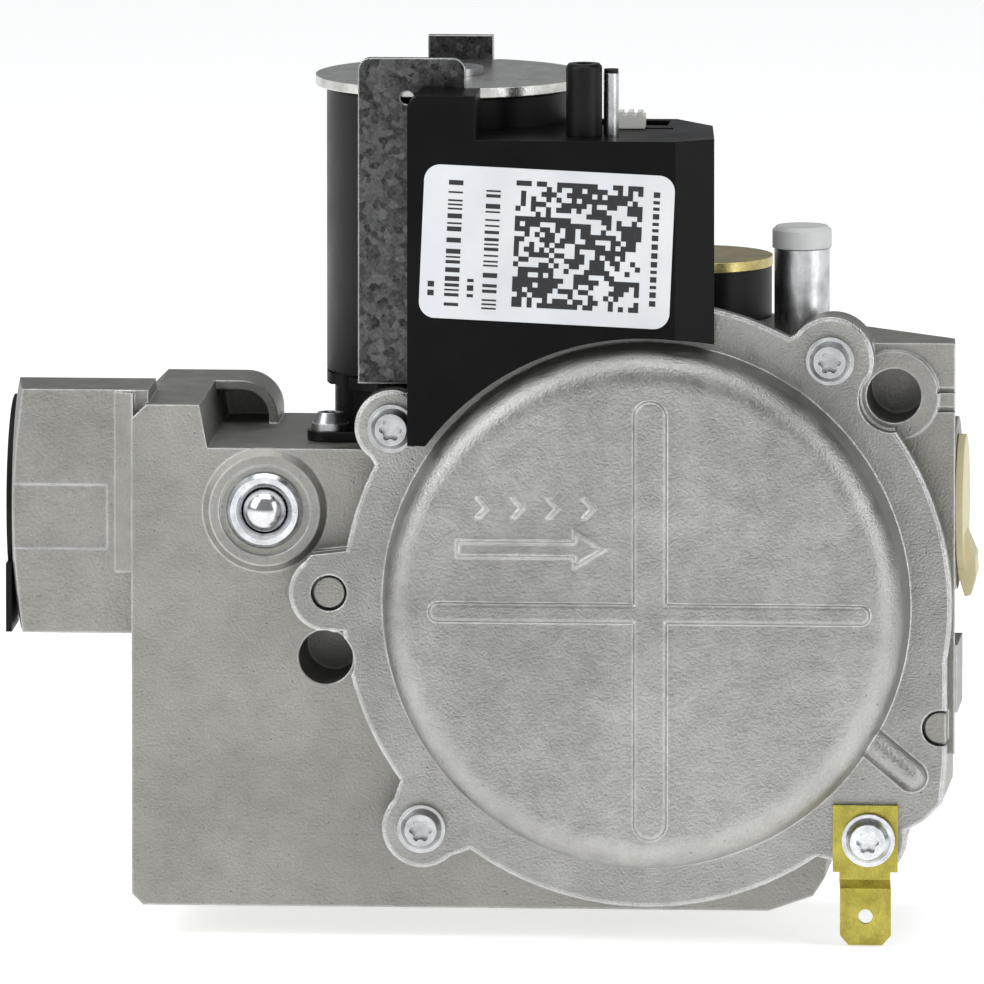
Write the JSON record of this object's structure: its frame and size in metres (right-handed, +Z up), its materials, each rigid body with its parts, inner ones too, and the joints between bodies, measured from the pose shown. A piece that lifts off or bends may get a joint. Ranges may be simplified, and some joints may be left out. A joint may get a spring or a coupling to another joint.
{
  "type": "gas valve",
  "caption": "Furnace gas control valve: cast body with threaded inlet and outlet, round diaphragm cover, upright solenoid, black control housing and pressure regulator.",
  "frame": {"origin": "centre of the inlet port's mouth, on the flow axis", "axes": "+X the way the gas flows, +Z up along the solenoid, -Y the front with the diaphragm cover"},
  "size_m": [0.1207, 0.0547, 0.1102],
  "materials": {
    "cast_aluminium": "blasted die casting, satin",
    "cast_aluminium_cover": "die casting, slightly mottled satin",
    "zinc_screw": "zinc plated",
    "zinc_bright": "bright zinc plated",
    "brass": "rolled brass",
    "steel_ball": "polished",
    "stainless_mesh": "perforated",
    "black_cap": "moulded",
    "yellow_cap": "translucent moulded",
    "galvanised": "galvanised spangle",
    "zinc_plate": "bright zinc plated",
    "black_moulding": "moulded satin",
    "nylon_bobbin": "moulded",
    "copper": "enamelled wire winding",
    "stainless_tube": "drawn",
    "rubber_seal": "matte",
    "magnetic_steel": "turned",
    "spring_steel": "drawn wire",
    "gasket_fibre": "compressed fibre",
    "black_gloss": "moulded semi-gloss",
    "white_plastic": "moulded",
    "tin_pins": "tin plated",
    "circuit_board": "solder mask",
    "label_paper": "coated label",
    "yellow_chromate": "yellow chromate zinc",
    "machined_aluminium": "turned",
    "grey_plastic": "moulded"
  },
  "bodies": {
    "valve_body": {"body_casting": "cast_aluminium", "diaphragm_cover": "cast_aluminium_cover", "cover_screws": "zinc_screw", "ground_screw": "zinc_bright", "ground_terminal": "brass", "passage_plug_sleeve": "zinc_bright", "passage_plug_ball": "steel_ball", "inlet_screen": "stainless_mesh", "coil_yoke": "galvanised", "coil_top_plate": "zinc_plate", "coil_base": "black_moulding", "coil_mount_screws": "zinc_screw", "coil_bobbin": "nylon_bobbin", "coil_winding": "copper", "coil_jacket": "black_moulding", "plunger_guide_tube": "stainless_tube", "guide_tube_seal": "rubber_seal", "fixed_pole": "magnetic_steel", "redundant_spring": "spring_steel", "main_diaphragm": "rubber_seal", "main_valve_spring": "spring_steel", "rear_gasket": "gasket_fibre", "rear_cover": "cast_aluminium_cover", "rear_cover_screws": "zinc_screw", "control_housing": "black_gloss", "vent_spigot": "black_moulding", "sensing_tube": "stainless_tube", "sensing_tube_tip": "black_moulding", "connector_pins": "tin_pins", "control_board": "circuit_board", "board_components": "black_moulding", "rating_label": "label_paper", "pilot_coil_jacket": "black_moulding", "pilot_winding": "copper", "pilot_top_plate": "yellow_chromate", "pilot_spring": "spring_steel", "regulator_tower": "machined_aluminium", "regulator_spring": "spring_steel", "regulator_diaphragm": "rubber_seal"},
    "redundant_valve": {"redundant_plunger": "magnetic_steel", "redundant_valve_disc": "rubber_seal"},
    "main_valve": {"main_valve_stem": "stainless_tube", "diaphragm_plate": "galvanised", "main_valve_disc": "rubber_seal", "main_disc_backing": "zinc_plate"},
    "pilot_valve": {"pilot_plunger": "magnetic_steel"},
    "switch": {"switch_slider": "white_plastic"},
    "regulator_cap": {"regulator_cap": "grey_plastic"},
    "adjuster_seat": {"regulator_spring_seat": "brass"},
    "adjuster_screw": {"regulator_adjuster": "brass"},
    "inlet_cap": {"inlet_cap": "black_cap"},
    "outlet_cap": {"outlet_cap": "yellow_cap"}
  },
  "joints": [
    {"name": "redundant_lift", "type": "slide", "parent": "valve_body", "child": "redundant_valve", "axis": [0, 0, 1], "range_m": [0, 0.0025], "stiffness_N_per_m": 200, "springref_m": -0.01, "deforming": ["redundant_spring"]},
    {"name": "main_lift", "type": "slide", "parent": "valve_body", "child": "main_valve", "axis": [0, 1, 0], "range_m": [0, 0.003], "stiffness_N_per_m": 250, "springref_m": -0.008, "deforming": ["main_valve_spring", "main_diaphragm"]},
    {"name": "pilot_lift", "type": "slide", "parent": "valve_body", "child": "pilot_valve", "axis": [0, 0, 1], "range_m": [0, 0.001], "stiffness_N_per_m": 100, "springref_m": -0.004, "deforming": ["pilot_spring"]},
    {"name": "switch_slide", "type": "slide", "parent": "valve_body", "child": "switch", "axis": [1, 0, 0], "range_m": [0, 0.004]},
    {"name": "regulator_cap_pull", "type": "slide", "parent": "valve_body", "child": "regulator_cap", "axis": [0, 0, 1], "range_m": [0, 0.02]},
    {"name": "adjuster_travel", "type": "slide", "parent": "valve_body", "child": "adjuster_seat", "axis": [0, 0, 1], "range_m": [-0.0016, 0.0004], "deforming": ["regulator_spring"]},
    {"name": "adjuster_turn", "type": "hinge", "parent": "adjuster_seat", "child": "adjuster_screw", "pos_m": [0.0984, -0.0099, 0.029], "axis": [0, 0, 1], "range_deg": [-720, 180]},
    {"name": "inlet_cap_pull", "type": "slide", "parent": "valve_body", "child": "inlet_cap", "axis": [-1, 0, 0], "range_m": [0, 0.04]},
    {"name": "outlet_cap_pull", "type": "slide", "parent": "valve_body", "child": "outlet_cap", "axis": [1, 0, 0], "range_m": [0, 0.04]}
  ],
  "couplings": [
    {"joint": "adjuster_travel", "follows": "adjuster_turn", "m_per_rad": 0.00012732}
  ]
}
